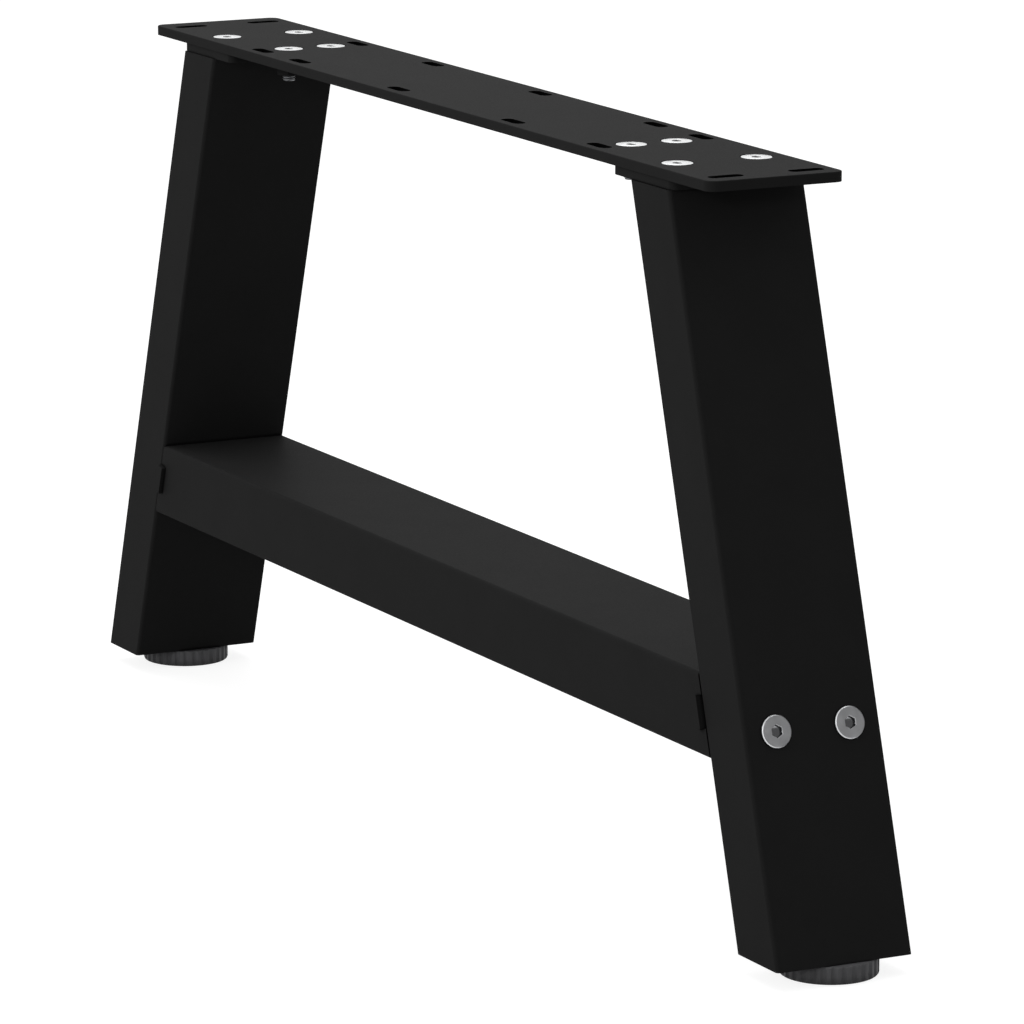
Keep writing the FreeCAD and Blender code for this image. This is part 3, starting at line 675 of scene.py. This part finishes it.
pad_low, pad_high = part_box("foot_pad_right")
stud_low, stud_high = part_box("foot_stud_right")
recesses = (socket_wall_shade_zinc, cone_shade_zinc, dull_zinc)
masters = {
    "plate_screw": dress(countersunk_screw(), bright_zinc, *recesses),
    "crossbar_bolt": dress(flat_bolt(), satin_zinc, *recesses),
    "foot_stud": foot_stud(stud_high.z - stud_low.z),
    "foot_pad": foot_pad(pad_high.z - pad_low.z),
}
masters["foot_stud"].data.materials.append(satin_zinc)
masters["foot_pad"].data.materials.append(plastic)

# The way each kind of piece faces, on the right side and on the left

up = (0, 0, 1)
down = (0, 0, -1)
out_to_right = (math.cos(LEAN), 0, math.sin(LEAN))
out_to_left = (-math.cos(LEAN), 0, math.sin(LEAN))
ways = {
    "plate_screw": (up, up),
    "crossbar_bolt": (out_to_right, out_to_left),
    "foot_stud": (down, down),
    "foot_pad": (down, down),
}
for name in list(frame["nodes"]):
    for family, master in masters.items():
        if name.startswith(family):
            right_way, left_way = ways[family]
            set_in_place(master, name, right_way if "_right" in name else left_way)
    for family, width in EDGE_EASING.items():
        if name.startswith(family):
            ease_edges(name, width)
for master in masters.values():
    bpy.data.objects.remove(master)
darken_slots("top_plate", slot_wall_shade_coat)

# Studio

let_go()
bpy.ops.mesh.primitive_plane_add(size=FLOOR_WIDTH, location=(0, 0, FLOOR_HEIGHT))
floor = bpy.context.object
floor.name = "studio_floor"
floor.data.materials.append(white_ground())

let_go()
card_turn = (Vector(CARD_AIM) - Vector(CARD_PLACE)).to_track_quat("Z", "Y").to_euler()
bpy.ops.mesh.primitive_plane_add(size=CARD_SIZE, location=CARD_PLACE, rotation=card_turn)
card = bpy.context.object
card.name = "studio_dark_card"
card.data.materials.append(dark_card_paper())
card.visible_camera = False
card.visible_diffuse = False
card.visible_transmission = False
card.visible_shadow = False


def studio_world():
    """White when seen directly or mirrored. As a light it is a room with a white backdrop behind
    the part on the left that falls off to a dim right side."""
    world = bpy.data.worlds.new("studio")
    world.use_nodes = True
    tree = world.node_tree
    tree.nodes.clear()
    seen = background_rays(tree)
    direction = add_node(tree, "ShaderNodeTexCoord").outputs["Generated"]
    towards = add_node(tree, "ShaderNodeVectorMath", {"operation": "DOT_PRODUCT"}, {
        1: BACKDROP_SIDE}, {0: direction})
    level = add_node(tree, "ShaderNodeMapRange", {"interpolation_type": "SMOOTHSTEP"}, {
        "From Min": DIM_FULL, "From Max": BACKDROP_FULL,
        "To Min": DIM_LEVEL, "To Max": BACKDROP_LEVEL}, {"Value": towards.outputs["Value"]})
    room = add_node(tree, "ShaderNodeBackground", values={"Color": linear(PURE_WHITE)}, links={
        "Strength": level.outputs["Result"]})
    white = add_node(tree, "ShaderNodeBackground", values={
        "Color": linear(PURE_WHITE), "Strength": 1.0})
    mixed = add_node(tree, "ShaderNodeMixShader", links={
        0: seen, 1: room.outputs["Background"], 2: white.outputs["Background"]})
    add_node(tree, "ShaderNodeOutputWorld", links={"Surface": mixed.outputs["Shader"]})
    return world


bpy.context.scene.world = studio_world()


def soft_box(name, place, aim, size, watts):
    """A square area lamp that points at an aim."""
    lamp = bpy.data.lights.new(name, "AREA")
    lamp.shape = "SQUARE"
    lamp.size = size
    lamp.energy = watts
    holder = bpy.data.objects.new(name, lamp)
    bpy.context.scene.collection.objects.link(holder)
    holder.location = place
    holder.rotation_euler = (Vector(aim) - Vector(place)).to_track_quat("-Z", "Y").to_euler()


soft_box("overhead_light", place=(-1.1, 0.1, 2.5), aim=(0, 0, 0.2), size=2.2, watts=26)
soft_box("front_light", place=(0.1, -2.4, 1.3), aim=(0, 0, 0.2), size=1.6, watts=15)
soft_box("camera_light", place=(2.6, -2.1, 1.25), aim=(0.35, 0, 0.15), size=0.3, watts=6)

lens = bpy.data.cameras.new("camera")
camera = bpy.data.objects.new("camera", lens)
bpy.context.scene.collection.objects.link(camera)
bpy.context.scene.camera = camera
lens.sensor_width = SENSOR_WIDTH
lens.lens = SENSOR_WIDTH * FOCAL_PIXELS / PICTURE_WIDTH
lens.clip_end = FARTHEST_SEEN
heading = Matrix.Rotation(CAMERA_HEADING, 4, "Z")
tilt = Matrix.Rotation(math.pi / 2 - CAMERA_DROP, 4, "X")
roll = Matrix.Rotation(CAMERA_ROLL, 4, "Z")
camera.matrix_world = Matrix.Translation(CAMERA_PLACE) @ heading @ tilt @ roll

bpy.context.scene.view_settings.view_transform = "Standard"
